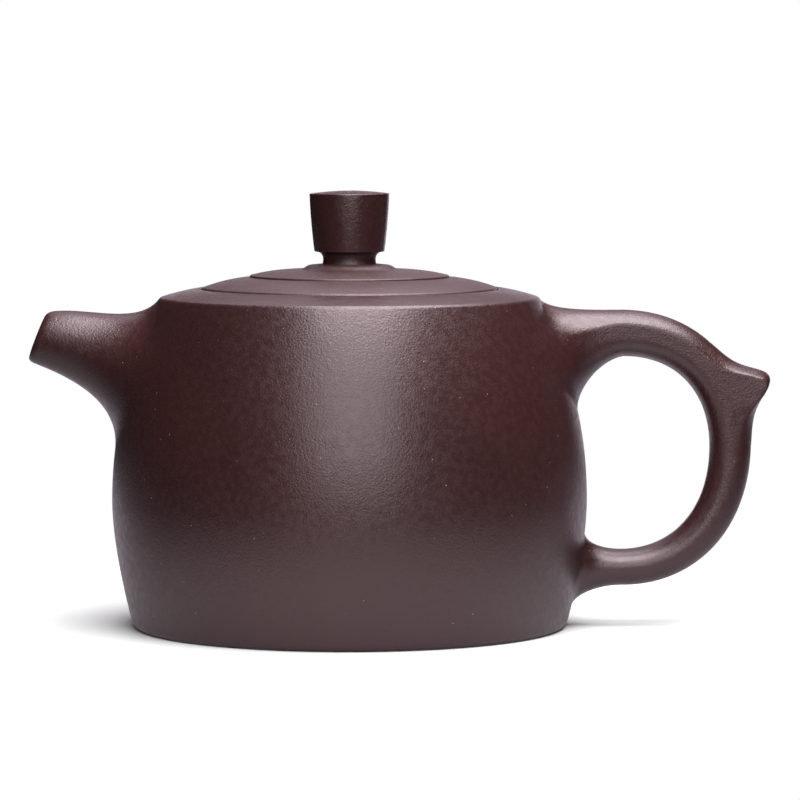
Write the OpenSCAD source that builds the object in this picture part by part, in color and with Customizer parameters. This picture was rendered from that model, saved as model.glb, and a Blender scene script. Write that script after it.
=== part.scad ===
// Round clay teapot: bell-shaped body, short flared spout, looped handle and a loose stepped lid.
// Millimetres. The origin is the centre of the base on the table and +Z is up.
// The handle is towards +X and the spout towards -X.

/* [Body] */
// Widest diameter of the body
belly_d = 90; // [86:0.5:110]
// Height of the widest place above the table
belly_h = 24.2; // [18:0.2:30]
// Diameter of the body at the table
foot_d = 82; // [74:0.5:85]
// Diameter of the ridge between wall and shoulder
ridge_d = 72.2; // [69:0.2:80]
// Height of the ridge above the table
ridge_h = 62.6; // [58:0.2:74]
// Bend of the wall above the widest place
upper_curve = 2; // [1.6:0.1:2.6]
// Bend of the wall below the widest place
lower_curve = 1.7; // [1.3:0.1:2.4]
// Thickness of the wall
wall_t = 3; // [2:0.1:4]
// Thickness of the base
base_t = 3.4; // [2.6:0.1:5]
// Depth of the hollow under the base
base_hollow = 0.6; // [0.2:0.1:1.2]
// Width of the flat ring that the pot stands on
foot_ring_w = 9; // [5:0.5:14]
// Cut of the soft edge at the table
foot_soft = 0.9; // [0.4:0.1:1.6]

/* [Shoulder and mouth] */
// Edge of the shoulder slab that shows below the ridge
shoulder_edge = 1.6; // [1:0.1:2.4]
// Rise of the shoulder from the ridge to the lid
shoulder_rise = 1.5; // [0.8:0.1:3]
// Bend of the shoulder
shoulder_curve = 1.45; // [1:0.05:2]
// Cut of the soft edge at the ridge
ridge_soft = 0.9; // [0.4:0.1:1.4]
// Width of the shoulder from the ridge to the recess that the lid lies in
shoulder_w = 7.8; // [6:0.1:10]
// Width of the seat that the lid rests on
seat_w = 4.7; // [3.4:0.1:6]
// Depth of the recess that the lid lies in
seat_depth = 1.9; // [1.2:0.1:2.6]
// Thickness of the mouth ring under the seat
ring_t = 3.2; // [2.4:0.1:4.5]
// Width of the mouth ring round the lid
ring_edge = 2.2; // [1.4:0.1:2.8]

/* [Lid] */
// Gap round the lid in its recess
lid_gap = 0.25; // [0.15:0.05:0.4]
// Gap between the flange and the mouth
flange_gap = 0.25; // [0.15:0.05:0.4]
// Thickness of the flange
flange_t = 2.2; // [1.6:0.1:3]
// Depth of the flange below the lid
flange_h = 6.5; // [4:0.1:9]
// Height of the lid at its edge
lid_edge_h = 2.1; // [1.6:0.1:3]
// Rise of the lid from its edge to the crown
lid_rise = 1.95; // [1.2:0.05:3]
// Depth of the hollow under the lid
lid_hollow = 1.2; // [0.4:0.1:1.6]
// Width of the lid's lower step, from its edge to the crown, the raised disc on the lid
lid_step_w = 9.1; // [6:0.1:12]
// Height of the crown at its edge
crown_edge_h = 0.4; // [0.2:0.05:0.8]
// Rise of the crown from its edge to the collar
crown_rise = 1.2; // [0.8:0.05:2]
// Cut of the soft edges of lid and crown
lid_soft = 0.3; // [0.1:0.05:0.35]

/* [Knob] */
// Diameter of the collar under the knob
collar_d = 18; // [15:0.1:22]
// Height of the collar
collar_h = 1.4; // [1:0.1:2]
// Diameter of the knob's waist
neck_d = 10; // [8:0.1:11.4]
// Height of the waist
neck_h = 2.05; // [1.4:0.05:3]
// Diameter of the knob at its lower edge
knob_low_d = 13.3; // [12.6:0.1:16]
// Diameter of the knob at its upper edge
knob_top_d = 15.2; // [13:0.1:18]
// Height of the tapered knob
knob_h = 11; // [8:0.1:14]
// Rise of the knob's domed top
knob_dome = 0.55; // [0.2:0.05:1.5]
// Cut of the soft edges of the knob
knob_soft = 0.3; // [0.1:0.05:0.5]
// Diameter of the air hole
vent_d = 2; // [1.2:0.1:3]

/* [Spout] */
// Reach of the spout's mouth beyond the widest place
spout_reach = 14.4; // [11:0.2:20]
// Drop of the spout's mouth below the ridge
spout_drop = 7.5; // [6:0.1:10]
// Outer diameter of the spout's mouth
spout_mouth_d = 9.9; // [8.6:0.1:12]
// Lean of the spout's mouth from upright
spout_lean = 21; // [10:1:32]
// Fall of the spout from its mouth to the body
spout_fall = 4.5; // [0:0.5:8]
// Spread of the spout behind its mouth
spout_spread = 17; // [10:0.5:22]
// Height of the spout's root on the wall
spout_root_h = 28.6; // [22:0.2:30]
// Width of the spout's root on the wall
spout_root_w = 26; // [20:0.2:32]
// Inner diameter of the spout's mouth
spout_bore_d = 6.8; // [5:0.1:7.4]
// Diameter of the port in the wall, which holds the strainer
port_d = 15; // [12:0.1:16]
// Thickness of the strainer
strainer_t = 1.4; // [1:0.1:2]
// Diameter of each strainer hole
strainer_hole_d = 1.8; // [1.2:0.1:2.2]

/* [Handle] */
// Reach of the middle of the grip beyond the widest place
handle_reach = 27.5; // [24:0.2:36]
// Drop of the middle of the upper arm below the ridge
handle_drop = 6.8; // [6:0.1:9]
// Height of the middle of the lower arm above the table
handle_low_h = 11.1; // [10:0.1:14]
// Height of the outermost place of the loop
handle_mid_h = 34.5; // [30:0.5:38]
// Fullness of the loop's bends
handle_fullness = 0.59; // [0.5:0.01:0.7]
// Thickness of the grip at the upper arm
grip_top_t = 8.9; // [7.5:0.1:10]
// Thickness of the grip at the lower arm
grip_low_t = 6.9; // [5.5:0.1:8]
// Width of the grip at the upper arm
grip_top_w = 9.6; // [7:0.1:12]
// Width of the grip at the lower arm
grip_low_w = 8.4; // [6:0.1:11]
// Height of the upper root on the wall
upper_root_h = 22.6; // [18:0.2:24]
// Width of the upper root on the wall
upper_root_w = 18; // [14:0.2:22]
// Height of the lower root on the wall
lower_root_h = 14.8; // [11:0.2:16]
// Width of the lower root on the wall
lower_root_w = 11.6; // [10:0.2:14]
// Share of the grip's half thickness that is rounded off on its outside
outer_crown = 0.62; // [0.4:0.02:1]
// Share of the grip's half thickness that is rounded off on its inside
inner_crown = 0.5; // [0.4:0.02:1]
// Height of the spur above the grip
spur_h = 5.8; // [3:0.1:8]
// Length of the spur along the grip above its tip
spur_len_up = 9.4; // [6:0.2:12]
// Length of the spur along the grip below its tip
spur_len_down = 9.6; // [5:0.2:12]
// Place of the spur along the upper bend, from the arm at 0 to the outermost place at 1
spur_place = 0.73; // [0.6:0.01:0.85]

/* [Hidden] */

$fn = 96;
clay = [0.34, 0.25, 0.25];

// Steps along the wall and round an edge, and sides of a section of the spout or handle
wall_steps = 20;
edge_steps = 3;
ring_sides = 28;
// Steps along a root, along the bend with the spur and along the bend below it
root_steps = 8;
upper_steps = 30;
lower_steps = 14;

// Run of the side of the hollow under the base for each unit of its depth
hollow_slope = 3;
// Bend of the collar
collar_curve = 2.4;
// How much wider the knob's waist is at its ends
waist_flare = 0.4;
// How far a cutter or a root runs past the face that it meets
over = 1;
// How far the flared roots run into the wall before they are cut to it
root_sink = 0.5;
// Share of a root's size at which its flare starts to lie along the wall, at its first end and its other end
spout_bend = [0.68, 0.38];
handle_bend = [0.82, 0.76];
// How far a root goes straight on before it flares
spout_lead = 7;
handle_lead = 5;
// How far the upper roots stay below the ridge, and the lower root's middle above the middle of its arm
spout_root_drop = 0.4;
upper_root_drop = 0.5;
lower_root_lift = 0.6;
// How far beyond the widest place the roots of the handle end and its loop starts
handle_start = 7;
// Length of a bend of the loop over the straight line between its ends
bend_stretch = 1.12;
// Turn of the underside of the upper arm towards the wall where its root starts
handle_spread = 10;
// Power that squares off the rounded faces of the grip a little
squareness = 0.86;
// Sharpness of the spur
spur_point = 4.8;
// How far the strainer's rim stays behind the outside of the wall, and its dome in from the inside
strainer_set_back = 1;
dome_set_in = 0.8;
// Angle from the strainer's axis and number of holes of each row
strainer_rows = [[0, 1], [29, 6], [57, 12]];

belly_r = belly_d / 2;
ridge_r = ridge_d / 2;
slab_z = ridge_h - shoulder_edge;
seat_r = ridge_r - shoulder_w;
lid_r = seat_r - lid_gap;
ring_r = seat_r + ring_edge;
seat_z = ridge_h + shoulder_rise - seat_depth;
mouth_r = seat_r - seat_w;
flange_r = mouth_r - flange_gap;
crown_r = lid_r - lid_step_w;
crown_z = seat_z + lid_edge_h + lid_rise;
collar_z = crown_z + crown_edge_h + crown_rise;
knob_z = collar_z + collar_h;
neck_r = neck_d / 2;
collar_r = collar_d / 2;
collar_top_r = neck_r + waist_flare;
vent_r = vent_d / 2;

// Outer radius of the body at height z
function wall_r(z) = z > belly_h
    ? belly_r - (belly_r - ridge_r) * pow((z - belly_h) / (ridge_h - belly_h), upper_curve)
    : belly_r - (belly_r - foot_d / 2) * pow((belly_h - z) / belly_h, lower_curve);

// Height of the shoulder at radius r
function shoulder_z(r) = ridge_h + shoulder_rise
    * (1 - pow((r - seat_r) / (ridge_r - seat_r), shoulder_curve));

// Evenly spread values from a to b
function spread(a, b, steps) = [for (i = [0:steps]) a + (b - a) * i / steps];

function reversed(list) = [for (i = [len(list) - 1:-1:0]) list[i]];

function unit(v) = v / norm(v);

// Points of a soft edge that rounds corner b between a and c, starting cut away from it
function soft(a, b, c, cut) = let (p = b + cut * unit(a - b), q = b + cut * unit(c - b))
    [for (t = spread(0, 1, edge_steps)) (1 - t) * (1 - t) * p + 2 * t * (1 - t) * b + t * t * q];

// Point and direction of a cubic curve at t
function curve(p, t) = pow(1 - t, 3) * p[0] + 3 * t * pow(1 - t, 2) * p[1]
    + 3 * t * t * (1 - t) * p[2] + pow(t, 3) * p[3];
function curve_dir(p, t) = unit(pow(1 - t, 2) * (p[1] - p[0]) + 2 * t * (1 - t) * (p[2] - p[1])
    + t * t * (p[3] - p[2]));

// Point on the wall at depth y and height z, on the side that side gives, lowered into it by sink
function on_wall(side, y, z, sink) = [side * sqrt(pow(wall_r(z) - sink, 2) - y * y), y, z];

// Outlines of the round pieces, as radius and height
wall_line = [for (z = spread(base_t, slab_z, wall_steps)) [wall_r(z), z]];
wall_inside = [for (p = reversed(wall_line)) p - [wall_t, 0]];
foot_line = soft([0, 0], [wall_r(0), 0], [wall_r(base_t), base_t], foot_soft);
ridge_line = soft([wall_r(slab_z), slab_z], [ridge_r, ridge_h],
                  [ridge_r - over, shoulder_z(ridge_r - over)], ridge_soft);
shoulder_line = [for (r = spread(ridge_r - over, ring_r, 2 * edge_steps)) [r, shoulder_z(r)]];

// Solid that fills the outside of the body, which the spout and handle are cut to
module body_fill() {
    rotate_extrude() polygon(concat([[0, 0]], foot_line, wall_line, ridge_line, shoulder_line,
                                    [[0, shoulder_z(ring_r)]]));
}

// Closed skin through a list of rings with equally many points
module skin(rings) {
    n = len(rings[0]);
    last = len(rings) - 1;
    first_mid = last * n + n;
    middles = [for (ring = [rings[0], rings[last]]) [for (p = ring) 1] * ring / n];
    sides = [for (k = [0:last - 1]) for (i = [0:n - 1])
        let (a = k * n + i, b = k * n + (i + 1) % n) each [[a, b, b + n], [a, b + n, a + n]]];
    caps = [for (i = [0:n - 1]) let (j = (i + 1) % n)
        each [[first_mid, j, i], [first_mid + 1, last * n + i, last * n + j]]];
    polyhedron(concat([for (ring = rings) each ring], middles), concat(sides, caps));
}

// Rings of a root that flares from a given ring to the wall, listed from that ring to the wall.
// The ring's points leave along lead. Its first point meets the wall at the root's end that end gives.
function root_rings(ring, lead, bend, side, mid_z, end, height, width) =
    [for (t = spread(0, 1, root_steps)) [for (i = [0:ring_sides - 1])
        let (a = 360 * i / ring_sides,
             y = width / 2 * sin(a),
             rise = end * height / 2 * cos(a),
             k = (bend[0] + bend[1]) / 2 + (bend[0] - bend[1]) / 2 * cos(a))
        curve([ring[i], ring[i] + lead[i],
               on_wall(side, k * y, mid_z + k * rise, 0),
               on_wall(side, y, mid_z + rise, root_sink)], t)]];

// Base

module base_disc() {
    hollow_r = wall_r(0) - foot_soft - foot_ring_w;
    color(clay) rotate_extrude() polygon(concat(
        [[0, base_hollow], [hollow_r - hollow_slope * base_hollow, base_hollow], [hollow_r, 0]],
        foot_line,
        [[wall_r(base_t), base_t], [0, base_t]]));
}

// Wall, with the port that the strainer sits in

port_z = ridge_h - spout_root_h / 2 - spout_root_drop;
port_slope = atan((wall_r(port_z - over) - wall_r(port_z + over)) / (2 * over));

// Puts its children on the port's axis, with +Z going inwards and 0 at the outside of the wall
module at_port() {
    translate([-wall_r(port_z), 0, port_z]) rotate([0, 90 + port_slope, 0]) children();
}

module body_wall() {
    color(clay) difference() {
        rotate_extrude() polygon(concat(wall_line, wall_inside));
        at_port() translate([0, 0, -2 * over]) cylinder(d = port_d, h = wall_t + 4 * over);
    }
}

module shoulder_disc() {
    color(clay) rotate_extrude()
        polygon(concat([[ring_r, slab_z], [wall_r(slab_z), slab_z]], ridge_line, shoulder_line));
}

module mouth_ring() {
    color(clay) rotate_extrude() polygon([
        [mouth_r, seat_z - ring_t], [ring_r, seat_z - ring_t], [ring_r, shoulder_z(ring_r)],
        [seat_r, shoulder_z(seat_r)], [seat_r, seat_z], [mouth_r, seat_z]]);
}

// Spout

spout_mouth = [-belly_r - spout_reach, 0, ridge_h - spout_drop];
mouth_up = [sin(spout_lean), 0, cos(spout_lean)];
spout_up = [sin(spout_fall), 0, cos(spout_fall)];
spout_in = [cos(spout_fall), 0, -sin(spout_fall)];
around = [for (i = [0:ring_sides - 1]) 360 * i / ring_sides];
spout_ring = [for (a = around) spout_mouth + spout_mouth_d / 2 * (cos(a) * mouth_up + [0, sin(a), 0])];
spout_leads = [for (a = around) spout_lead
    * (cos(spout_spread) * spout_in + sin(spout_spread) * (cos(a) * spout_up + [0, sin(a), 0]))];

module spout_bore() {
    port = [-wall_r(port_z), 0, port_z];
    way = port - spout_mouth;
    port_bore_r = port_d / 2 - strainer_t;
    widening = (port_bore_r - spout_bore_d / 2) / norm(way);
    start = 3 * over;
    translate(spout_mouth - start * unit(way)) rotate([0, 90 + asin(-unit(way)[2]), 0])
        cylinder(r1 = spout_bore_d / 2 - start * widening, r2 = port_bore_r + start * widening,
                 h = norm(way) + 2 * start);
}

module spout() {
    color(clay) difference() {
        skin(root_rings(spout_ring, spout_leads, spout_bend, -1, port_z, 1, spout_root_h, spout_root_w));
        body_fill();
        spout_bore();
    }
}

// Strainer: a rim in the port and a pierced dome inside the pot

module strainer() {
    outer_r = port_d / 2;
    inner_r = outer_r - strainer_t;
    dome_z = wall_t + dome_set_in;
    color(clay) at_port() difference() {
        rotate_extrude() {
            translate([inner_r, strainer_set_back]) square([strainer_t, dome_z - strainer_set_back]);
            translate([0, dome_z]) intersection() {
                difference() {
                    circle(r = outer_r);
                    circle(r = inner_r);
                }
                square(2 * outer_r);
            }
        }
        for (row = strainer_rows, i = [1:row[1]])
            translate([0, 0, dome_z]) rotate([0, row[0], 360 * i / row[1]])
                translate([0, 0, inner_r - over]) cylinder(d = strainer_hole_d, h = strainer_t + 2 * over);
    }
}

// Handle

handle_start_x = belly_r + handle_start;
handle_top_z = ridge_h - handle_drop;
handle_out_x = belly_r + handle_reach;
loop_w = handle_out_x - handle_start_x;
upper_bend = [[handle_start_x, 0, handle_top_z],
              [handle_start_x + handle_fullness * loop_w, 0, handle_top_z],
              [handle_out_x, 0, handle_mid_h + handle_fullness * (handle_top_z - handle_mid_h)],
              [handle_out_x, 0, handle_mid_h]];
lower_bend = [upper_bend[3],
              [handle_out_x, 0, handle_mid_h - handle_fullness * (handle_mid_h - handle_low_h)],
              [handle_start_x + handle_fullness * loop_w, 0, handle_low_h],
              [handle_start_x, 0, handle_low_h]];
upper_length = norm(upper_bend[3] - upper_bend[0]) * bend_stretch;

// Height of the spur at place t of the upper bend: a peak with long tails that end at the spur's two lengths
function peak(share) = 2 / (exp(spur_point * share) + exp(-spur_point * share));
function spur_rise(t) = let (away = (t - spur_place) * upper_length,
                             share = min(1, away < 0 ? -away / spur_len_up : away / spur_len_down))
    spur_h * (peak(share) - peak(1)) / (1 - peak(1));

// Section of the grip at angle a, as shares of its half thickness and half width: rounded faces and flat sides
function section(a) = let (crown = cos(a) > 0 ? outer_crown : inner_crown)
    [sign(cos(a)) * (1 - crown + crown * pow(abs(cos(a)), squareness)),
     sign(sin(a)) * pow(abs(sin(a)), squareness)];

// Ring of the grip at place t of a bend, where share runs from 0 at the upper arm to 1 at the lower one
function outwards(bend, t) = let (d = curve_dir(bend, t)) [-d[2], 0, d[0]];
function grip_t(share) = grip_top_t + (grip_low_t - grip_top_t) * share;
function grip_w(share) = grip_top_w + (grip_low_w - grip_top_w) * share;
function grip_ring(bend, t, share, rise) =
    let (out = outwards(bend, t), centre = curve(bend, t) + rise / 2 * out)
    [for (a = around) let (s = section(a))
        centre + (grip_t(share) + rise) / 2 * s[0] * out + [0, grip_w(share) / 2 * s[1], 0]];

spur_rises = [for (t = spread(0, 1, upper_steps)) spur_rise(t)];
upper_rings = [for (i = [0:upper_steps]) let (t = i / upper_steps)
    grip_ring(upper_bend, t, t / 2, spur_rises[i])];
lower_rings = [for (t = spread(0, 1, lower_steps)) grip_ring(lower_bend, t, (1 + t) / 2, 0)];
upper_leads = [for (a = around) let (turn = handle_spread * (1 - cos(a)) / 2)
    handle_lead * [-cos(turn), sin(turn) * sin(a), sin(turn) * cos(a)]];
lower_leads = [for (a = around) [-handle_lead, 0, 0]];
upper_root = root_rings(upper_rings[0], upper_leads, handle_bend, 1,
                        ridge_h - upper_root_h / 2 - upper_root_drop, 1, upper_root_h, upper_root_w);
lower_root = root_rings(lower_rings[lower_steps], lower_leads, handle_bend, 1,
                        handle_low_h + lower_root_lift, -1, lower_root_h, lower_root_w);
handle_rings = concat(reversed(upper_root), [for (i = [1:upper_steps]) upper_rings[i]],
                      [for (i = [1:lower_steps]) lower_rings[i]], [for (i = [1:root_steps]) lower_root[i]]);

// Half space outside the grip at the spur, where the spur is joined on
module spur_side() {
    place = curve(upper_bend, spur_place);
    out = outwards(upper_bend, spur_place);
    size = 2 * (spur_len_up + spur_len_down);
    translate(place + grip_t(spur_place / 2) / 2 * out) rotate([0, 90 - asin(out[2]), 0])
        translate([-size / 2, -size / 2, 0]) cube(size);
}

module handle() {
    color(clay) difference() {
        skin(handle_rings);
        body_fill();
        spur_side();
    }
}

module handle_spur() {
    near = [for (i = [1:upper_steps - 1]) if (spur_rises[i - 1] + spur_rises[i + 1] > 0) upper_rings[i]];
    color(clay) intersection() {
        skin(near);
        spur_side();
    }
}

// Lid

module lid_flange() {
    color(clay) rotate_extrude()
        translate([flange_r - flange_t, seat_z - flange_h]) square([flange_t, flange_h]);
}

module lid_plate() {
    hollow_r = flange_r - flange_t;
    under_z = seat_z + lid_hollow;
    edge_z = seat_z + lid_edge_h;
    color(clay) rotate_extrude() polygon(concat(
        [[vent_r, under_z], [hollow_r, under_z], [hollow_r, seat_z], [lid_r, seat_z]],
        soft([lid_r, seat_z], [lid_r, edge_z], [crown_r, crown_z], lid_soft),
        [[crown_r, crown_z], [vent_r, crown_z]]));
}

module lid_crown() {
    edge_z = crown_z + crown_edge_h;
    color(clay) rotate_extrude() polygon(concat(
        [[vent_r, crown_z], [crown_r, crown_z]],
        soft([crown_r, crown_z], [crown_r, edge_z], [collar_r, collar_z], lid_soft),
        [[collar_r, collar_z], [vent_r, collar_z]]));
}

module knob_collar() {
    color(clay) rotate_extrude() polygon(concat(
        [[vent_r, collar_z]],
        [for (t = spread(1, 0, 2 * edge_steps))
            [collar_top_r + t * (collar_r - collar_top_r),
             collar_z + collar_h * (1 - pow(t, collar_curve))]],
        [[vent_r, knob_z]]));
}

module knob() {
    low_r = knob_low_d / 2;
    top_r = knob_top_d / 2;
    low_z = knob_z + neck_h;
    top_z = low_z + knob_h;
    dome_steps = 2 * edge_steps;
    color(clay) rotate_extrude() polygon(concat(
        [[vent_r, knob_z]],
        [for (t = spread(-1, 1, 2 * edge_steps))
            [neck_r + waist_flare * t * t, knob_z + neck_h * (1 + t) / 2]],
        soft([neck_r, low_z], [low_r, low_z], [top_r, top_z], knob_soft),
        soft([low_r, low_z], [top_r, top_z], [0, top_z + knob_dome], knob_soft),
        [for (i = [1:dome_steps]) let (r = top_r + (vent_r - top_r) * i / dome_steps)
            [r, top_z + knob_dome * (1 - pow(r / top_r, 2))]]));
}

base_disc();
body_wall();
shoulder_disc();
mouth_ring();
spout();
strainer();
handle();
handle_spur();
lid_flange();
lid_plate();
lid_crown();
knob_collar();
knob();
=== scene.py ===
import math

import bmesh
import bpy
import numpy as np
from mathutils import Matrix, Vector, noise


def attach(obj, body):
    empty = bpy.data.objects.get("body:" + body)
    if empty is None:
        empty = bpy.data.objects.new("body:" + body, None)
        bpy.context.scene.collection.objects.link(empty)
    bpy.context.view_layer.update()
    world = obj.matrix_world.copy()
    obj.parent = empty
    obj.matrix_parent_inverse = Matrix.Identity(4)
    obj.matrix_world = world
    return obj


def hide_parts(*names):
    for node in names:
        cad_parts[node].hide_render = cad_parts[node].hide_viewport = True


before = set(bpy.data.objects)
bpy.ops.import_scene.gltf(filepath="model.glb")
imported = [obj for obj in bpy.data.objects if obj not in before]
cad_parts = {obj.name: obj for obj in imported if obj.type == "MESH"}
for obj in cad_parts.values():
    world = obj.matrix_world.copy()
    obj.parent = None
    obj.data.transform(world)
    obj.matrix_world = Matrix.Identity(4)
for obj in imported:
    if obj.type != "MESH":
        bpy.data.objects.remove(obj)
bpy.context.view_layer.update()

# Sizes of the pot are in millimetres and angles in radians. They are those of the solids, apart from these:
# the wall, the shoulder and the lid's edges are trued to the photo by about 0.2 mm, the roots run out wider
# on the wall, and edges and faces are softer. SOFT is how far an edge is rounded to each side, and BULGE how
# far a face swells.

MM = 0.001
TURN = 2 * math.pi

# Body. A CURVE is the power of a curve
BELLY_R = 45.2
BELLY_Z = 24.2
FOOT_R = 41.25
FOOT_SOFT = 1.3
RIDGE_R = 36.1
RIDGE_Z = 62.6
RIDGE_SOFT = 0.55
UPPER_CURVE = 2.0
LOWER_CURVE = 1.7
WALL_T = 3.0
BASE_T = 3.4
BASE_HOLLOW = 0.6
HOLLOW_R = 31.1
HOLLOW_RUN = 3 * BASE_HOLLOW
HOLLOW_SOFT = 0.6
SLAB_Z = 61.0
SHOULDER_RISE = 1.7
SHOULDER_CURVE = 1.45

# Mouth
SEAT_R = 28.3
SEAT_Z = 62.2
SEAT_SOFT = 0.3
RING_R = 30.5
RING_Z = 59.0
MOUTH_R = 23.6

# Lid
LID_R = 28.05
LID_EDGE_Z = 64.52
LID_UNDER_Z = 63.4
LID_SOFT = 0.6
LID_UNDER_SOFT = 0.2
LID_BULGE = 0.3
FLANGE_R = 23.35
FLANGE_IN_R = 21.15
FLANGE_Z = 55.7
FLANGE_SOFT = 0.6
CROWN_R = 18.95
CROWN_Z = 66.43
CROWN_EDGE_Z = 66.83
CROWN_SOFT = 0.36
CROWN_BULGE = 0.33

# Collar under the knob. Its under side lies inside the crown, and SINK takes its top below KNOB_Z
COLLAR_R = 9.0
COLLAR_Z = 67.85
COLLAR_KNEE = (COLLAR_R - 1.2, COLLAR_Z + 0.9)
COLLAR_KNEE_SOFT = 0.55
COLLAR_FOOT = (COLLAR_R, COLLAR_Z + 0.1)
COLLAR_FOOT_SOFT = 0.7
COLLAR_SKIRT = (COLLAR_R + 0.9, COLLAR_Z - 0.06)
COLLAR_UNDER_Z = COLLAR_Z - 0.3
COLLAR_SINK = 0.25

# Knob. WAIST_LOW and WAIST_HIGH pull the curve of its waist in
KNOB_Z = 69.25
KNOB_LOW_R = 6.65
KNOB_LOW_Z = 71.3
KNOB_LOW_SOFT = 0.18
KNOB_LEDGE = 0.35
KNOB_TOP_R = 7.6
KNOB_TOP_Z = 82.3
KNOB_APEX_Z = 82.85
KNOB_SOFT = 0.22
KNOB_BULGE = 0.12
WAIST_R = 5.0
WAIST_END = (WAIST_R + 0.1, KNOB_Z - COLLAR_SINK)
WAIST_LOW = (WAIST_R - 0.15, KNOB_Z + 0.6)
WAIST_HIGH = (WAIST_R - 0.1, KNOB_LOW_Z - 0.15)
VENT_R = 1.0
VENT_SOFT = 0.25

# Where spout and handle meet the wall. SINK is how deep their ends go in, TUCK how far they draw together
# there, as a share. SPACING sets the rings closer towards the wall, OPEN_POWER keeps an opening to the top
ROOT_SINK = 0.9
ROOT_TUCK = 0.04
ROOT_SPACING = 1.6
OPEN_POWER = 6

# Spout. A BEND gives, at the top, below and beside, the share of a root's reach at which its lines turn
SPOUT_MOUTH = np.array([-59.4, 0.0, 55.1])
SPOUT_R = 4.95
SPOUT_BORE_R = 3.4
SPOUT_LEAN = math.radians(21)
SPOUT_FALL = math.radians(4.5)
SPOUT_SPREAD = math.radians(17)
SPOUT_LEAD = 7.0
SPOUT_ROOT_H = 28.6
SPOUT_ROOT_W = 37.0
SPOUT_BEND = (0.57, 0.31, 0.30)
SPOUT_OPEN = 1.6
LIP_TOP_SOFT = 1.5
LIP_LOW_SOFT = 1.3
LIP_IN_SOFT = 0.5
LIP_FACE = 0.6
PORT_Z = 47.9
PORT_R = 7.5
PORT_BORE_R = 6.1
PORT_PAST = 1.0

# Handle. GRIP_T and GRIP_W are its thickness and width at the upper and the lower end, HANDLE_FULL how full
# its bends are, and a LEAD how far the lines of a root are first pulled straight on
HANDLE_X = 52.0
HANDLE_OUT_X = 72.5
HANDLE_TOP_Z = 55.8
HANDLE_MID_Z = 34.5
HANDLE_LOW_Z = 11.1
HANDLE_FULL = 0.59
HANDLE_LEAD = 5.0
HANDLE_SPREAD = math.radians(10)
UPPER_BEND = (0.74, 0.71, 0.38)
UPPER_OPEN = 1.3
UPPER_ROOT_H = 21.1
UPPER_ROOT_W = 27.5
UPPER_ROOT_Z = 51.55
LOWER_BEND = (0.78, 0.72, 0.42)
LOWER_ROOT_H = 14.3
LOWER_ROOT_W = 18.0
LOWER_ROOT_Z = 10.85
GRIP_T = (8.9, 6.9)
GRIP_W = (9.6, 8.4)

# The grip is crisp down to the first of these shares of its length, and rounder after the second
GRIP_CRISP_END = 0.36
GRIP_ROUND_START = 0.58
GRIP_CRISP = {"out_drop": 2.2, "out_soft": 0.6, "in_drop": 1.9, "in_soft": 1.7, "rounded": 0.0}
GRIP_ROUND = {"out_drop": 1.5, "out_soft": 1.4, "in_drop": 1.5, "in_soft": 1.4, "rounded": 0.85}

# Spur. A GAIN is how fast a change comes with the spur's height. ROOT is how far its root lies in the grip,
# and ARC_PER_CHORD gives the length of the upper bend, along which SPUR_PLACE is a share
ARC_PER_CHORD = 1.12
SPUR_H = 5.8
SPUR_PLACE = 0.73
SPUR_UP = 9.4
SPUR_DOWN = 9.6
SPUR_POINT = 4.8
SPUR_LEAST = 0.02
SPUR_TAPER = 0.05
SPUR_TIP_SPAN = 0.06
SPUR_DROP = (2.0, 0.5)
SPUR_DROP_GAIN = 1.5
SPUR_SOFT = 0.4
SPUR_SOFT_GAIN = 3
SPUR_FLAT_GAIN = 2
SPUR_ROOT_SIDE = (1.0, 1.2)
SPUR_ROOT_DEPTH = 1.4

# Hand-made unevenness: size of the waves and their height
WARP_SEED = 7
WARP_WIDE = 19.0
WARP_WIDE_DEPTH = 0.07
WARP_NEAR = 7.0
WARP_NEAR_DEPTH = 0.02
WARP_SHIFT = Vector((31.0, 7.0, 3.0))

# Fineness of the meshes, and steps for slopes. A point nearer than AXIS_R lies on the axis
WIDE_SIDES = 256
MIDDLE_SIDES = 192
SMALL_SIDES = 128
SPOUT_SIDES = 96
DRILL_SIDES = 64
SHARP_ANGLE = math.radians(40)
AXIS_R = 1e-6
WALL_STEP = 0.01
BEND_STEP = 0.001


# Curves and outlines

def wall_r(z):
    """Radius of the wall's outside at a height."""
    if z > BELLY_Z:
        share = (z - BELLY_Z) / (RIDGE_Z - BELLY_Z)
        return BELLY_R - (BELLY_R - RIDGE_R) * share ** UPPER_CURVE
    share = (BELLY_Z - z) / BELLY_Z
    return BELLY_R - (BELLY_R - FOOT_R) * share ** LOWER_CURVE


def shoulder_z(r):
    """Height of the shoulder's top at a radius."""
    share = max(0.0, (r - SEAT_R) / (RIDGE_R - SEAT_R))
    return RIDGE_Z + SHOULDER_RISE * (1 - share ** SHOULDER_CURVE)


def quad(a, b, c, t):
    a, b, c = np.array(a), np.array(b), np.array(c)
    return (1 - t) ** 2 * a + 2 * t * (1 - t) * b + t * t * c


def cubic(p, t):
    return (1 - t) ** 3 * p[0] + 3 * t * (1 - t) ** 2 * p[1] + 3 * t * t * (1 - t) * p[2] + t ** 3 * p[3]


def unit(v):
    return v / np.linalg.norm(v)


def mix(a, b, share):
    return a + (b - a) * share


def clamp(share):
    return min(1.0, max(0.0, share))


def arc(a, b, c, steps):
    """Points from a to c on the curve that corner b pulls towards itself."""
    return [tuple(quad(a, b, c, t)) for t in np.linspace(0, 1, steps + 1)]


def soft(a, b, c, cut, steps=6):
    """Points that round corner b between a and c, from cut before it to cut after it."""
    a, b, c = np.array(a, float), np.array(b, float), np.array(c, float)
    return arc(b + cut * unit(a - b), b, b + cut * unit(c - b), steps)


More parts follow.
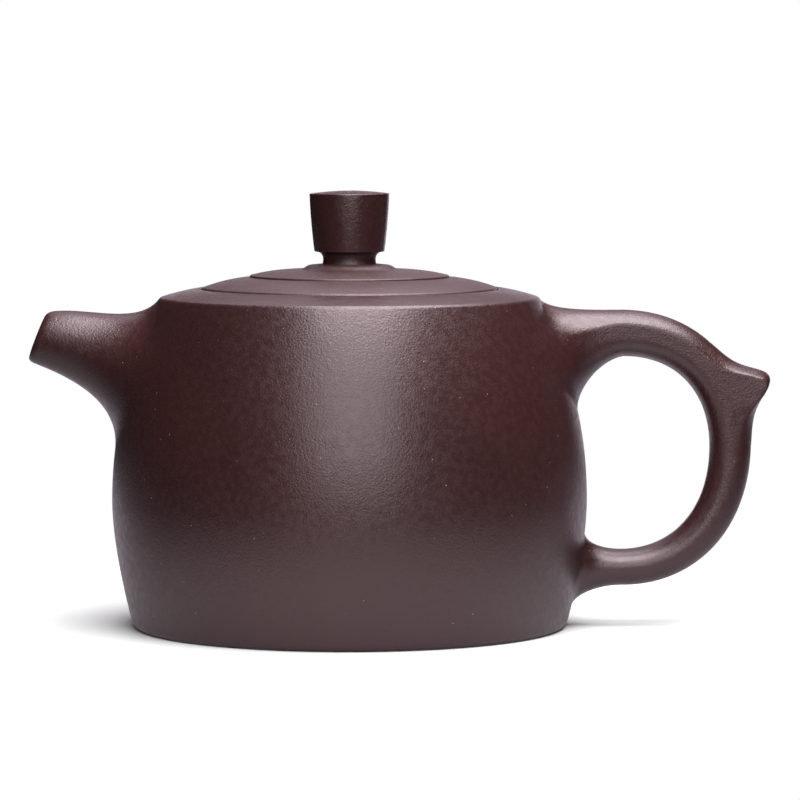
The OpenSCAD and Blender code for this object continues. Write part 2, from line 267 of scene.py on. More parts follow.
def bow(a, b, bulge, steps):
    """Points from a to b, bulged to the outside in the middle, without the two ends."""
    a, b = np.array(a, float), np.array(b, float)
    side = np.array([b[1] - a[1], a[0] - b[0]]) / np.linalg.norm(b - a)
    shares = np.linspace(0, 1, steps + 2)[1:-1]
    return [tuple(a + (b - a) * t + side * bulge * 4 * t * (1 - t)) for t in shares]


# Meshes

# The noise field is seeded, since it otherwise changes with the clock
noise.seed_set(WARP_SEED)


def warp(points):
    """Small hand-made unevenness, the same field for every piece so that seams stay closed."""
    moved = []
    for p in points:
        v = Vector(p)
        wide = noise.noise_vector(v / WARP_WIDE)
        near = noise.noise_vector(v / WARP_NEAR + WARP_SHIFT)
        moved.append((v + WARP_WIDE_DEPTH * wide + WARP_NEAR_DEPTH * near) * MM)
    return moved


def add_object(name, data):
    obj = bpy.data.objects.new(name, data)
    bpy.context.scene.collection.objects.link(obj)
    return obj


def add_piece(name, points, faces, body, nodes):
    mesh = bpy.data.meshes.new(name)
    mesh.from_pydata(warp(points), [], faces)
    work = bmesh.new()
    work.from_mesh(mesh)
    bmesh.ops.recalc_face_normals(work, faces=work.faces)
    work.to_mesh(mesh)
    work.free()
    mesh.shade_smooth()
    mesh.set_sharp_from_angle(angle=SHARP_ANGLE)
    mesh.materials.append(clay)
    obj = add_object(name, mesh)
    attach(obj, body)
    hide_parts(*nodes)
    return obj


def drill(piece, start, end, radius):
    """Cuts a round hole through a piece, from start to end in millimetres."""
    start, end = Vector(start) * MM, Vector(end) * MM
    turn = (end - start).to_track_quat("Z", "Y").to_matrix().to_4x4()
    work = bmesh.new()
    bmesh.ops.create_cone(work, cap_ends=True, segments=DRILL_SIDES,
                          radius1=radius * MM, radius2=radius * MM, depth=(end - start).length,
                          matrix=Matrix.Translation((start + end) / 2) @ turn)
    bit_mesh = bpy.data.meshes.new("drill_bit")
    work.to_mesh(bit_mesh)
    work.free()
    bit = add_object("drill_bit", bit_mesh)
    cut = piece.modifiers.new("hole", "BOOLEAN")
    cut.operation = "DIFFERENCE"
    cut.solver = "EXACT"
    cut.object = bit
    drilled = bpy.data.meshes.new_from_object(piece.evaluated_get(bpy.context.evaluated_depsgraph_get()))
    piece.modifiers.clear()
    piece.data = drilled
    bpy.data.objects.remove(bit)


def lathe(outline, sides=WIDE_SIDES):
    """Turns an outline of (radius, height) about the axis. Ends on the axis close it there."""
    on_axis = outline[0][0] < AXIS_R
    points = []
    rows = []
    for r, z in outline:
        if r < AXIS_R:
            rows.append([len(points)] * sides)
            points.append((0.0, 0.0, z))
            continue
        rows.append(list(range(len(points), len(points) + sides)))
        for i in range(sides):
            a = TURN * i / sides
            points.append((r * math.cos(a), r * math.sin(a), z))
    faces = []
    last = len(rows) - 1 if on_axis else len(rows)
    for k in range(last):
        low = rows[k]
        high = rows[(k + 1) % len(rows)]
        for i in range(sides):
            j = (i + 1) % sides
            face = [low[i], low[j], high[j], high[i]]
            faces.append(list(dict.fromkeys(face)))
    return points, faces


def loft(rings, closed):
    """Skin through rings with equally many points. An open one gets a fan at each end."""
    n = len(rings[0])
    points = [tuple(p) for ring in rings for p in ring]
    faces = []
    last = len(rings) if closed else len(rings) - 1
    for k in range(last):
        a = k * n
        b = ((k + 1) % len(rings)) * n
        for i in range(n):
            j = (i + 1) % n
            faces.append([a + i, a + j, b + j, b + i])
    if not closed:
        for ring, start in ((rings[0], 0), (rings[-1], (len(rings) - 1) * n)):
            middle = len(points)
            points.append(tuple(np.mean(ring, axis=0)))
            for i in range(n):
                faces.append([start + i, start + (i + 1) % n, middle])
    return points, faces


# Shader nodes that more than one material uses

def smooth_range(tree, value, low, high, out_low=0.0, out_high=1.0):
    """Takes a value from one range to another, with soft ends."""
    n = tree.nodes.new("ShaderNodeMapRange")
    n.interpolation_type = "SMOOTHSTEP"
    n.inputs["From Min"].default_value = low
    n.inputs["From Max"].default_value = high
    n.inputs["To Min"].default_value = out_low
    n.inputs["To Max"].default_value = out_high
    tree.links.new(value, n.inputs["Value"])
    return n.outputs["Result"]


def combine(tree, operation, a, b):
    n = tree.nodes.new("ShaderNodeMath")
    n.operation = operation
    tree.links.new(a, n.inputs[0])
    tree.links.new(b, n.inputs[1])
    return n.outputs["Value"]


def blend(tree, a, b, share):
    """Mixes two colours, each a socket or red, green and blue, by a share that is a socket."""
    n = tree.nodes.new("ShaderNodeMix")
    n.data_type = "RGBA"
    tree.links.new(share, n.inputs["Factor"])
    for socket, value in ((n.inputs["A"], a), (n.inputs["B"], b)):
        if isinstance(value, tuple):
            socket.default_value = (*value, 1.0)
        else:
            tree.links.new(value, socket)
    return n.outputs["Result"]


# Clay: fine-grained unglazed stoneware, a little rougher on the lid and polished by the fingers on the knob

# Colours in linear red, green and blue
CLAY_BODY = (0.043, 0.0126, 0.0128)
CLAY_CLOUD = (0.035, 0.0104, 0.0108)
CLAY_MOTTLE = (0.025, 0.0085, 0.0090)
CLAY_GRAIN = (0.072, 0.0290, 0.0285)
PIT_COLOUR = (0.012, 0.005, 0.005)
FINE_COLOUR = (0.16, 0.11, 0.10)
PALE_COLOUR = (0.48, 0.42, 0.38)
SHEEN = (1.0, 0.86, 0.91, 1.0)

# Scales of the noise, per metre
CLOUD_SCALE = 32
MOTTLE_SCALE = 520
GRAIN_SCALE = 2300
GLOSS_SCALE = 760
RIPPLE_SCALE = 260
SKIN_SCALE = 1300
SAND_SCALE = 2600

# Dots: cells per metre, radius in metres, and a shift that keeps the patterns apart
PITS = (300, 0.00014, (0.11, 0.07, 0.05))
FINE_SPECKS = (800, 0.00006, (0.21, 0.37, 0.15))
PALE_SPECKS = (390, 0.00011, (0.05, 0.12, 0.31))
DOT_CORE = 0.55

# Roughness, and how much it changes between two heights in metres
ROUGHNESS = (0.31, 0.41)
LID_DRYNESS = (0.0641, 0.0645, 0.14)
KNOB_POLISH = (0.0690, 0.0715, -0.19)

# Depths of the relief in metres
RIPPLE_DEPTH = 0.000022
SKIN_DEPTH = 0.000022
SAND_DEPTH = 0.000042
PIT_DEPTH = 0.00006


def make_clay():
    material = bpy.data.materials.new("clay")
    material.use_nodes = True
    tree = material.node_tree
    nodes, links = tree.nodes, tree.links
    shader = nodes["Principled BSDF"]
    place = nodes.new("ShaderNodeTexCoord").outputs["Object"]

    def grain(scale, detail, rough=0.5):
        n = nodes.new("ShaderNodeTexNoise")
        n.inputs["Scale"].default_value = scale
        n.inputs["Detail"].default_value = detail
        n.inputs["Roughness"].default_value = rough
        links.new(place, n.inputs["Vector"])
        return n.outputs["Fac"]

    def dots(scale, radius, shift):
        """Mask of small round dots."""
        move = nodes.new("ShaderNodeVectorMath")
        move.operation = "ADD"
        move.inputs[1].default_value = shift
        links.new(place, move.inputs[0])
        n = nodes.new("ShaderNodeTexVoronoi")
        n.inputs["Scale"].default_value = scale
        links.new(move.outputs["Vector"], n.inputs["Vector"])
        edge = radius * scale
        return smooth_range(tree, n.outputs["Distance"], edge * DOT_CORE, edge, 1.0, 0.0)

    def relief(height, depth, before=None):
        n = nodes.new("ShaderNodeBump")
        n.inputs["Strength"].default_value = 1.0
        n.inputs["Distance"].default_value = depth
        links.new(height, n.inputs["Height"])
        if before is not None:
            links.new(before, n.inputs["Normal"])
        return n.outputs["Normal"]

    # Colour: red-brown clay with darker clouds and mottling, paler grain, dark pits and pale specks
    clouds = smooth_range(tree, grain(CLOUD_SCALE, detail=3), low=0.35, high=0.65)
    mottle = grain(MOTTLE_SCALE, detail=4, rough=0.65)
    mottling = smooth_range(tree, mottle, low=0.52, high=0.78, out_high=0.5)
    paler = smooth_range(tree, grain(GRAIN_SCALE, detail=2), low=0.58, high=0.80, out_high=0.5)
    pits = dots(*PITS)
    colour = blend(tree, CLAY_BODY, CLAY_CLOUD, clouds)
    colour = blend(tree, colour, CLAY_MOTTLE, mottling)
    colour = blend(tree, colour, CLAY_GRAIN, paler)
    colour = blend(tree, colour, PIT_COLOUR, pits)
    colour = blend(tree, colour, FINE_COLOUR, dots(*FINE_SPECKS))
    colour = blend(tree, colour, PALE_COLOUR, dots(*PALE_SPECKS))
    links.new(colour, shader.inputs["Base Color"])

    # Gloss: uneven, rougher on the lid and smoother on the knob
    axes = nodes.new("ShaderNodeSeparateXYZ")
    links.new(place, axes.inputs["Vector"])
    rough = smooth_range(tree, grain(GLOSS_SCALE, detail=3), 0.3, 0.7, *ROUGHNESS)
    for low, high, change in (LID_DRYNESS, KNOB_POLISH):
        added = smooth_range(tree, axes.outputs["Z"], low, high, out_high=change)
        rough = combine(tree, "ADD", rough, added)
    links.new(rough, shader.inputs["Roughness"])
    shader.inputs["Specular IOR Level"].default_value = 1.0
    shader.inputs["Specular Tint"].default_value = SHEEN

    # Relief: long ripples left by the scraper, pear-skin grain, fine sand and pits
    normal = relief(grain(RIPPLE_SCALE, detail=2), RIPPLE_DEPTH)
    normal = relief(grain(SKIN_SCALE, detail=2), SKIN_DEPTH, normal)
    normal = relief(grain(SAND_SCALE, detail=2), SAND_DEPTH, normal)
    normal = relief(smooth_range(tree, pits, 0.0, 1.0, 1.0, 0.0), PIT_DEPTH, normal)
    links.new(normal, shader.inputs["Normal"])
    return material


clay = make_clay()

# Body: base, wall, shoulder and mouth ring

foot_side = (wall_r(FOOT_SOFT), FOOT_SOFT)
hollow_top = (HOLLOW_R - HOLLOW_RUN, BASE_HOLLOW)
hollow_edge = (HOLLOW_R, 0.0)
base_line = [(0.0, BASE_HOLLOW), (HOLLOW_R - 2 * HOLLOW_RUN, BASE_HOLLOW)]
base_line += soft(base_line[1], hollow_top, hollow_edge, HOLLOW_SOFT)
base_line += soft(hollow_top, hollow_edge, (FOOT_R, 0.0), HOLLOW_SOFT)
base_line += soft((0.0, 0.0), (wall_r(0.0), 0.0), foot_side, FOOT_SOFT, steps=10)
base_line += [(wall_r(z), z) for z in np.linspace(FOOT_SOFT, BASE_T, num=6)[1:]]
base_line += [(0.0, BASE_T)]
add_piece("pot_base", *lathe(base_line), "pot", ["base_disc"])

heights = np.linspace(BASE_T, SLAB_Z, num=65)
wall_line = [(wall_r(z), z) for z in heights]
wall_line += [(wall_r(z) - WALL_T, z) for z in heights[::-1]]
wall = add_piece("pot_wall", *lathe(wall_line), "pot", ["body_wall"])

ridge_top = (RIDGE_R - RIDGE_SOFT, shoulder_z(RIDGE_R - RIDGE_SOFT))
ridge_low = (wall_r(SLAB_Z), SLAB_Z)
shoulder_line = [(RING_R, SLAB_Z), ridge_low]
shoulder_line += soft(ridge_low, (RIDGE_R, RIDGE_Z), ridge_top, RIDGE_SOFT, steps=8)
shoulder_line += [(r, shoulder_z(r)) for r in np.linspace(ridge_top[0], RING_R, num=16)[1:]]
add_piece("pot_shoulder", *lathe(shoulder_line), "pot", ["shoulder_disc"])

seat_edge = (SEAT_R, shoulder_z(SEAT_R))
ring_line = [(MOUTH_R, RING_Z), (RING_R, RING_Z)]
ring_line += [(r, shoulder_z(r)) for r in np.linspace(RING_R, SEAT_R + SEAT_SOFT, num=6)[:-1]]
ring_line += soft((RING_R, shoulder_z(RING_R)), seat_edge, (SEAT_R, SEAT_Z), SEAT_SOFT)
ring_line += [(SEAT_R, SEAT_Z)]
ring_line += soft((SEAT_R, SEAT_Z), (MOUTH_R, SEAT_Z), (MOUTH_R, RING_Z), SEAT_SOFT)
add_piece("pot_mouth", *lathe(ring_line), "pot", ["mouth_ring"])


# Spout and handle grow out of the wall in a smooth flare

def wall_point(side, y, z):
    return np.array([side * math.sqrt(wall_r(z) ** 2 - y * y), y, z])


def wall_normal(p):
    slope = (wall_r(p[2] + WALL_STEP) - wall_r(p[2] - WALL_STEP)) / (2 * WALL_STEP)
    r = math.hypot(p[0], p[1])
    return unit(np.array([p[0] / r, p[1] / r, -slope]))


def flare(ring, angles, leads, bend, side, mid_z, height, width, steps, firsts=None, top_out=0.0):
    """Rings from a given ring to the wall, tangent to the wall where they meet it, except by top_out.

    bend gives how far out each line keeps before it lies along the wall, at the top, below and beside.
    firsts gives the share of each line that is left off at its start."""
    centre = wall_point(side, 0.0, mid_z)
    lines = []
    ends = []
    for p, a, lead in zip(ring, angles, leads):
        foot = wall_point(side, width / 2 * math.sin(a), mid_z + height / 2 * math.cos(a))
        normal = wall_normal(foot)
        away = foot - centre
        along = away - np.dot(away, normal) * normal
        upright = bend[0] if math.cos(a) > 0 else bend[1]
        keep = mix(bend[2], upright, math.cos(a) ** 2)
        turn = foot - (1 - keep) * along + top_out * max(0.0, math.cos(a)) ** OPEN_POWER * normal
        lines.append([p, p + lead, turn, foot])
        ends.append(foot - ROOT_SINK * normal - ROOT_TUCK * along)
    if firsts is None:
        firsts = [0.0] * len(lines)
    rings = []
    for t in 1 - (1 - np.linspace(0, 1, steps + 1)) ** ROOT_SPACING:
        rings.append([cubic(line, mix(first, 1.0, t)) for line, first in zip(lines, firsts)])
    return rings + [ends]


spout_angles = [TURN * i / SPOUT_SIDES for i in range(SPOUT_SIDES)]
mouth_up = np.array([math.sin(SPOUT_LEAN), 0, math.cos(SPOUT_LEAN)])
spout_up = np.array([math.sin(SPOUT_FALL), 0, math.cos(SPOUT_FALL)])
spout_in = np.array([math.cos(SPOUT_FALL), 0, -math.sin(SPOUT_FALL)])
across = np.array([0.0, 1.0, 0.0])


def spout_ring(centre, radii):
    """A ring that leans like the spout's mouth, with one radius or one for each angle."""
    ring = []
    for a, r in zip(spout_angles, np.broadcast_to(radii, SPOUT_SIDES)):
        ring.append(centre + r * (math.cos(a) * mouth_up + math.sin(a) * across))
    return ring


def spout_lead(a):
    """How a line leaves the mouth: inwards, and a little away from the spout's middle."""
    away = math.cos(a) * spout_up + math.sin(a) * across
    return SPOUT_LEAD * (math.cos(SPOUT_SPREAD) * spout_in + math.sin(SPOUT_SPREAD) * away)


def arc_rings(first, edge, last, steps):
    """Rings that round an edge between two others."""
    rings = []
    for t in np.linspace(0, 1, steps + 1):
        rings.append([quad(a, b, c, t) for a, b, c in zip(first, edge, last)])
    return rings


spout_edge = spout_ring(SPOUT_MOUTH, SPOUT_R)
leads = [spout_lead(a) for a in spout_angles]
# The lines start behind the soft lip. A cubic leaves its start at three times its lead
lip_soft = np.array([mix(LIP_LOW_SOFT, LIP_TOP_SOFT, (1 + math.cos(a)) / 2) for a in spout_angles])
outside = flare(spout_edge, spout_angles, leads, SPOUT_BEND, -1,
                PORT_Z, SPOUT_ROOT_H, SPOUT_ROOT_W, steps=40,
                firsts=lip_soft / (3 * SPOUT_LEAD), top_out=SPOUT_OPEN)
face_edge = spout_ring(SPOUT_MOUTH, SPOUT_R - LIP_FACE * lip_soft)
lip = arc_rings(face_edge, spout_edge, outside[0], steps=8)[:-1]
port = wall_point(-1, 0.0, PORT_Z)
inwards = unit(port - SPOUT_MOUTH)
bore_end = port + PORT_PAST * inwards
bore_len = np.linalg.norm(bore_end - SPOUT_MOUTH)
bore = []
for t in np.linspace(1, LIP_IN_SOFT / bore_len, num=14):
    bore.append(spout_ring(SPOUT_MOUTH + t * bore_len * inwards, mix(SPOUT_BORE_R, PORT_BORE_R, t)))
bore_edge = spout_ring(SPOUT_MOUTH, SPOUT_BORE_R)
face_start = spout_ring(SPOUT_MOUTH, SPOUT_BORE_R + LIP_IN_SOFT)
bore_lip = arc_rings(bore[-1], bore_edge, face_start, steps=5)[1:]
add_piece("pot_spout", *loft(bore + bore_lip + lip + outside, True), "pot", ["spout"])
drill(wall, port + WALL_T * wall_normal(port), port - 2 * WALL_T * wall_normal(port), PORT_R)

full_x = mix(HANDLE_X, HANDLE_OUT_X, HANDLE_FULL)
upper_bend = np.array([[HANDLE_X, 0, HANDLE_TOP_Z],
                       [full_x, 0, HANDLE_TOP_Z],
                       [HANDLE_OUT_X, 0, mix(HANDLE_MID_Z, HANDLE_TOP_Z, HANDLE_FULL)],
                       [HANDLE_OUT_X, 0, HANDLE_MID_Z]])
lower_bend = np.array([[HANDLE_OUT_X, 0, HANDLE_MID_Z],
                       [HANDLE_OUT_X, 0, mix(HANDLE_MID_Z, HANDLE_LOW_Z, HANDLE_FULL)],
                       [full_x, 0, HANDLE_LOW_Z],
                       [HANDLE_X, 0, HANDLE_LOW_Z]])
upper_length = ARC_PER_CHORD * np.linalg.norm(upper_bend[3] - upper_bend[0])


def outwards(bend, t):
    """Direction across a bend, away from the finger gap."""
    d = unit(cubic(bend, min(1, t + BEND_STEP)) - cubic(bend, max(0, t - BEND_STEP)))
    return np.array([-d[2], 0, d[0]])


def both_sides(half):
    """A whole section from one half of it, given as (out, side)."""
    return half + [(u, -v) for u, v in half[-2:0:-1]]


def ring_on(bend, t, half):
    """The whole section of which half is given, at a place on a bend."""
    out = outwards(bend, t)
    place = cubic(bend, t)
    return [place + u * out + v * across for u, v in both_sides(half)]


def rounder(points, half_t, half_w, rounded):
    """Moves the points of a section towards an ellipse, all the way where rounded is 1."""
    moved = []
    for u, v in points:
        a = math.atan2(v / half_w, u / half_t)
        moved.append((mix(u, half_t * math.cos(a), rounded), mix(v, half_w * math.sin(a), rounded)))
    return moved


def grip_halves(share):
    """Half the grip's thickness and half its width."""
    return mix(*GRIP_T, share) / 2, mix(*GRIP_W, share) / 2


def grip_style(share):
    """Drop and softness of the outer and inner edges, and roundness: crisp near the spur, rounder below."""
    low = clamp((share - GRIP_CRISP_END) / (GRIP_ROUND_START - GRIP_CRISP_END))
    return {name: mix(GRIP_CRISP[name], GRIP_ROUND[name], low) for name in GRIP_CRISP}


def grip_half(share):
    """Grip section, from the middle of its outer face to the middle of its inner face, as (out, side).

    The two faces are crowned and the sides flat, with soft edges between them, and all is rounder below."""
    half_t, half_w = grip_halves(share)
    style = grip_style(share)

    def outer(v):
        return half_t - style["out_drop"] * (v / half_w) ** 2

    def inner(v):
        return -half_t + style["in_drop"] * (v / half_w) ** 2

    top = [(outer(v), v) for v in np.linspace(0, half_w - style["out_soft"], num=10)]
    top_side = (outer(half_w) - style["out_soft"], half_w)
    low_side = (inner(half_w) + style["in_soft"], half_w)
    low = [(inner(v), v) for v in np.linspace(half_w - style["in_soft"], 0, num=9)]
    edge = arc(top[-1], (outer(half_w), half_w), top_side, steps=6)[1:-1]
    side = [tuple(p) for p in np.linspace(top_side, low_side, num=6)]
    low_edge = arc(low_side, (inner(half_w), half_w), low[0], steps=6)[1:-1]
    return rounder(top + edge + side + low_edge + low, half_t, half_w, style["rounded"])


def grip_angles(share):
    half_t, half_w = grip_halves(share)
    return [math.atan2(v / half_w, u / half_t) for u, v in both_sides(grip_half(share))]


upper_rings = [ring_on(upper_bend, t, grip_half(t / 2)) for t in np.linspace(0, 1, num=61)]
lower_rings = [ring_on(lower_bend, t, grip_half((1 + t) / 2)) for t in np.linspace(0, 1, num=51)]
upper_angles = grip_angles(0.0)
upper_leads = []
for a in upper_angles:
    fall = HANDLE_SPREAD * (1 - math.cos(a)) / 2
    upper_leads.append(HANDLE_LEAD * np.array([-math.cos(fall), math.sin(fall) * math.sin(a),
                                               math.sin(fall) * math.cos(a)]))
upper_root = flare(upper_rings[0], upper_angles, upper_leads, UPPER_BEND, 1,
                   UPPER_ROOT_Z, UPPER_ROOT_H, UPPER_ROOT_W, steps=34, top_out=UPPER_OPEN)
lower_angles = [math.pi - a for a in grip_angles(1.0)]
lower_leads = [np.array([-HANDLE_LEAD, 0, 0])] * len(lower_angles)
lower_root = flare(lower_rings[-1], lower_angles, lower_leads, LOWER_BEND, 1,
                   LOWER_ROOT_Z, LOWER_ROOT_H, LOWER_ROOT_W, steps=30)
handle_rings = upper_root[::-1] + upper_rings[1:] + lower_rings[1:] + lower_root[1:]
add_piece("pot_handle", *loft(handle_rings, False), "pot", ["handle"])


# Spur on the outside of the grip, with a crowned top face and crisp edges

def spur_rise(t):
    """How far the spur stands out of the grip at a place on the upper bend."""
    away = (t - SPUR_PLACE) * upper_length
    share = min(1.0, -away / SPUR_UP if away < 0 else away / SPUR_DOWN)
    end = 1 / math.cosh(SPUR_POINT)
    return SPUR_H * (1 / math.cosh(SPUR_POINT * share) - end) / (1 - end)


def spur_ring(t):
    share = t / 2
    rise = spur_rise(t)
    high = rise / SPUR_H
    half_t, half_w = grip_halves(share)
    style = grip_style(share)
    rounded = style["rounded"] * clamp(1 - SPUR_FLAT_GAIN * high)
    top_w = half_w * (1 - SPUR_TAPER * high)
    past_tip = clamp((t - SPUR_PLACE) / SPUR_TIP_SPAN + 0.5)
    drop = mix(style["out_drop"], mix(*SPUR_DROP, past_tip), clamp(SPUR_DROP_GAIN * high))
    soft_w = mix(style["out_soft"], SPUR_SOFT, clamp(SPUR_SOFT_GAIN * high))

    def outer(v):
        return half_t + rise - drop * (v / top_w) ** 2

    top = [(outer(v), v) for v in np.linspace(0, top_w - soft_w, num=10)]
    foot = (half_t - style["out_drop"] - style["out_soft"], half_w)
    corner = np.array([outer(top_w), top_w])
    below = corner + soft_w * unit(np.array(foot) - corner)
    edge = arc(top[-1], corner, below, steps=6)[1:-1]
    side = [tuple(p) for p in np.linspace(below, foot, num=10)]
    half = rounder(top + edge + side, half_t + rise, half_w, rounded)
    half += [(foot[0] - SPUR_ROOT_SIDE[0], half_w - SPUR_ROOT_SIDE[1]), (foot[0] - SPUR_ROOT_DEPTH, 0.0)]
    return ring_on(upper_bend, t, half)


spur_rings = [spur_ring(t) for t in np.linspace(0, 1, num=241) if spur_rise(t) > SPUR_LEAST]
add_piece("pot_spur", *loft(spur_rings, False), "pot", ["handle_spur"])

# Lid: flange, plate, crown, collar and knob

flange_line = [(FLANGE_IN_R, SEAT_Z)]
flange_line += soft((FLANGE_IN_R, SEAT_Z), (FLANGE_IN_R, FLANGE_Z), (FLANGE_R, FLANGE_Z), FLANGE_SOFT)
flange_line += soft((FLANGE_IN_R, FLANGE_Z), (FLANGE_R, FLANGE_Z), (FLANGE_R, SEAT_Z), FLANGE_SOFT)
flange_line += [(FLANGE_R, SEAT_Z)]
add_piece("lid_rim", *lathe(flange_line, MIDDLE_SIDES), "lid_ring", ["lid_flange"])

lid_edge = (LID_R, LID_EDGE_Z)
crown_foot = (CROWN_R, CROWN_Z)
lid_line = [(VENT_R, LID_UNDER_Z), (FLANGE_IN_R, LID_UNDER_Z), (FLANGE_IN_R, SEAT_Z)]
lid_line += soft((FLANGE_IN_R, SEAT_Z), (LID_R, SEAT_Z), lid_edge, LID_UNDER_SOFT)
lid_line += soft((LID_R, SEAT_Z), lid_edge, crown_foot, LID_SOFT)
lid_line += bow(lid_line[-1], crown_foot, LID_BULGE, steps=12)
lid_line += [crown_foot, (VENT_R, CROWN_Z)]
add_piece("lid_disc", *lathe(lid_line), "lid", ["lid_plate"])

crown_edge = (CROWN_R, CROWN_EDGE_Z)
crown_top = (COLLAR_R, COLLAR_Z)
crown_line = [(VENT_R, CROWN_Z), crown_foot]
crown_line += soft(crown_foot, crown_edge, crown_top, CROWN_SOFT)
crown_line += bow(crown_line[-1], crown_top, CROWN_BULGE, steps=12)
crown_line += [crown_top, (VENT_R, COLLAR_Z)]
add_piece("lid_step", *lathe(crown_line, MIDDLE_SIDES), "lid", ["lid_crown"])

collar_line = [(VENT_R, COLLAR_UNDER_Z), (COLLAR_SKIRT[0], COLLAR_UNDER_Z)]
collar_line += soft(COLLAR_SKIRT, COLLAR_FOOT, COLLAR_KNEE, COLLAR_FOOT_SOFT)
collar_line += soft(COLLAR_FOOT, COLLAR_KNEE, WAIST_END, COLLAR_KNEE_SOFT, steps=8)
collar_line += [WAIST_END, (VENT_R, WAIST_END[1])]
add_piece("lid_collar", *lathe(collar_line, SMALL_SIDES), "lid", ["knob_collar"])

knob_low = (KNOB_LOW_R, KNOB_LOW_Z)
knob_top = (KNOB_TOP_R, KNOB_TOP_Z)
knob_line = [(VENT_R, WAIST_END[1])]
waist = [np.array(p) for p in (WAIST_END, WAIST_LOW, WAIST_HIGH, (KNOB_LOW_R - KNOB_LEDGE, KNOB_LOW_Z))]
knob_line += [tuple(cubic(waist, t)) for t in np.linspace(0, 1, num=13)]
knob_line += soft(waist[3], knob_low, knob_top, KNOB_LOW_SOFT)
knob_line += bow(knob_low, knob_top, KNOB_BULGE, steps=10)
knob_line += soft(knob_low, knob_top, (0.0, KNOB_APEX_Z), KNOB_SOFT)
for r in np.linspace(KNOB_TOP_R, VENT_R + VENT_SOFT, num=14)[1:]:
    knob_line.append((r, KNOB_TOP_Z + (KNOB_APEX_Z - KNOB_TOP_Z) * (1 - (r / KNOB_TOP_R) ** 2)))
knob_line += [(VENT_R, knob_line[-1][1] - VENT_SOFT)]
add_piece("lid_knob", *lathe(knob_line, SMALL_SIDES), "lid", ["knob"])

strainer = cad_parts["strainer"]
strainer.data.materials.clear()
strainer.data.materials.append(clay)

# Floor, light and camera, in metres

WHITE = (1, 1, 1)
RIM_COLOUR = (0.97, 0.88, 1.0)

# The floor as the camera sees it, and the distances from the axis over which it fades into the backdrop
FLOOR_HALF = 2.5
FLOOR_DROP = 0.0001
FLOOR_SEEN = (0.93, 0.93, 0.93)
FADE_REACH = (0.05, 0.17)

# The floor as the clay sees it carries a painted pool of light: its colour is paler near a spot in front and
# darker far from it
BRIGHT_SPOT = (0.008, -0.035, 0.0)
BRIGHT_REACH = (0.03, 0.165)
BRIGHT_TONES = (0.44, 0.05)

# A glow behind the pot, in the clay's gloss alone, for the rims
GLOW_SPOT = (0.02, 0.25, 0.0)
GLOW_REACH = (0.14, 0.34)
GLOW_TONES = (0.85, 0.0)

ROOM_LIGHT = 0.015
LAMP_REACH = 0.5
LAMP_AIM = Vector((0.0, 0.0, 0.04))
CAMERA_PLACE = (0.00959, -0.8376, 0.1030)
CAMERA_AIM = Vector((0.00959, 0.0, 0.0430))


def make_floor():
    material = bpy.data.materials.new("pale_floor")
    material.use_nodes = True
    tree = material.node_tree
    nodes, links = tree.nodes, tree.links
    nodes.clear()
    place = nodes.new("ShaderNodeTexCoord").outputs["Object"]
    light = nodes.new("ShaderNodeLightPath").outputs

    def distance_from(spot):
        n = nodes.new("ShaderNodeVectorMath")
        n.operation = "DISTANCE"
        n.inputs[1].default_value = spot
        links.new(place, n.inputs[0])
        return n.outputs["Value"]

    # Painted pool of light on the floor, seen only by the clay's rays: paler near the spot in front, darker
    # away from it
    painted_light_pool = smooth_range(tree, distance_from(BRIGHT_SPOT), *BRIGHT_REACH, *BRIGHT_TONES)
    surface = nodes.new("ShaderNodeBsdfDiffuse")
    links.new(blend(tree, painted_light_pool, FLOOR_SEEN, light["Is Camera Ray"]), surface.inputs["Color"])
    shine = nodes.new("ShaderNodeEmission")
    shine.inputs["Strength"].default_value = 1.0
    links.new(blend(tree, WHITE, RIM_COLOUR, light["Is Glossy Ray"]), shine.inputs["Color"])
    fade = smooth_range(tree, distance_from((0.0, 0.0, 0.0)), *FADE_REACH)
    backdrop = combine(tree, "MULTIPLY", light["Is Camera Ray"], fade)
    glow = smooth_range(tree, distance_from(GLOW_SPOT), *GLOW_REACH, *GLOW_TONES)
    mirrored = combine(tree, "MULTIPLY", light["Is Glossy Ray"], glow)
    mixed = nodes.new("ShaderNodeMixShader")
    links.new(combine(tree, "MAXIMUM", backdrop, mirrored), mixed.inputs["Fac"])
    links.new(surface.outputs["BSDF"], mixed.inputs[1])
    links.new(shine.outputs["Emission"], mixed.inputs[2])
    out = nodes.new("ShaderNodeOutputMaterial")
    links.new(mixed.outputs["Shader"], out.inputs["Surface"])
    return material


floor_mesh = bpy.data.meshes.new("floor")
floor_corners = [(FLOOR_HALF * x, FLOOR_HALF * y, 0) for x, y in ((-1, -1), (1, -1), (1, 1), (-1, 1))]
floor_mesh.from_pydata(floor_corners, [], [(0, 1, 2, 3)])
floor_mesh.materials.append(make_floor())
floor = add_object("floor", floor_mesh)
floor.location.z = -FLOOR_DROP

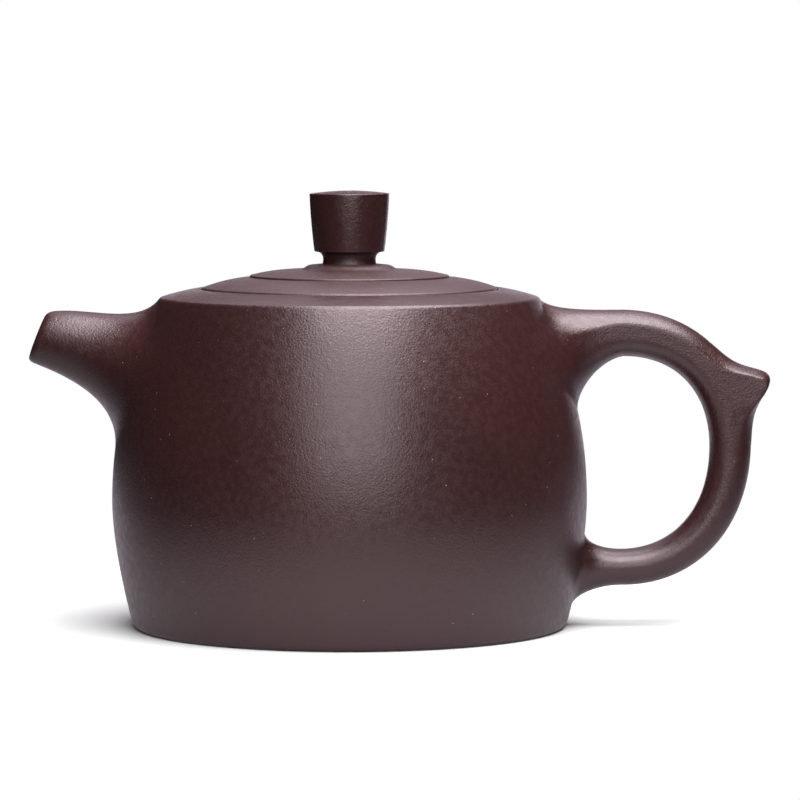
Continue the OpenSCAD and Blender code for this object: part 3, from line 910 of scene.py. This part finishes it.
# The room is white for the camera and nearly dark for the clay
world = bpy.data.worlds.new("studio")
bpy.context.scene.world = world
world.use_nodes = True
tree = world.node_tree
room = tree.nodes["Background"]
room.inputs["Color"].default_value = (*WHITE, 1)
room.inputs["Strength"].default_value = ROOM_LIGHT
backdrop = tree.nodes.new("ShaderNodeBackground")
backdrop.inputs["Color"].default_value = (*WHITE, 1)
backdrop.inputs["Strength"].default_value = 1.0
light_path = tree.nodes.new("ShaderNodeLightPath")
join = tree.nodes.new("ShaderNodeMixShader")
tree.links.new(light_path.outputs["Is Camera Ray"], join.inputs["Fac"])
tree.links.new(room.outputs["Background"], join.inputs[1])
tree.links.new(backdrop.outputs["Background"], join.inputs[2])
tree.links.new(join.outputs["Shader"], tree.nodes["World Output"].inputs["Surface"])


def softbox(name, azimuth, elevation, size, watts, colour=WHITE):
    """A panel at that azimuth, from the front to the right, and elevation, in degrees."""
    a, e = math.radians(azimuth), math.radians(elevation)
    away = Vector((math.sin(a) * math.cos(e), -math.cos(a) * math.cos(e), math.sin(e)))
    lamp = bpy.data.lights.new(name, "AREA")
    lamp.shape = "RECTANGLE"
    lamp.size, lamp.size_y = size
    lamp.energy = watts
    lamp.color = colour
    obj = add_object(name, lamp)
    obj.location = LAMP_AIM + LAMP_REACH * away
    obj.rotation_euler = away.to_track_quat("Z", "Y").to_euler()
    obj.visible_camera = False


softbox("front", azimuth=3, elevation=19.8, size=(0.37, 0.305), watts=0.90)
softbox("key", azimuth=5, elevation=53, size=(0.36, 0.18), watts=1.50)
softbox("top", azimuth=80, elevation=78, size=(0.50, 0.46), watts=4.6)
softbox("back", azimuth=172, elevation=5, size=(0.36, 0.16), watts=0.26, colour=RIM_COLOUR)
softbox("rear", azimuth=178, elevation=47, size=(0.44, 0.33), watts=0.36, colour=RIM_COLOUR)

camera_data = bpy.data.cameras.new("camera")
camera_data.sensor_width = 36.0
camera_data.lens = 198.5
camera_data.clip_start = 0.05
camera = add_object("camera", camera_data)
camera.location = CAMERA_PLACE
camera.rotation_euler = (CAMERA_AIM - camera.location).to_track_quat("-Z", "Y").to_euler()
bpy.context.scene.camera = camera
bpy.context.scene.view_settings.view_transform = "Standard"
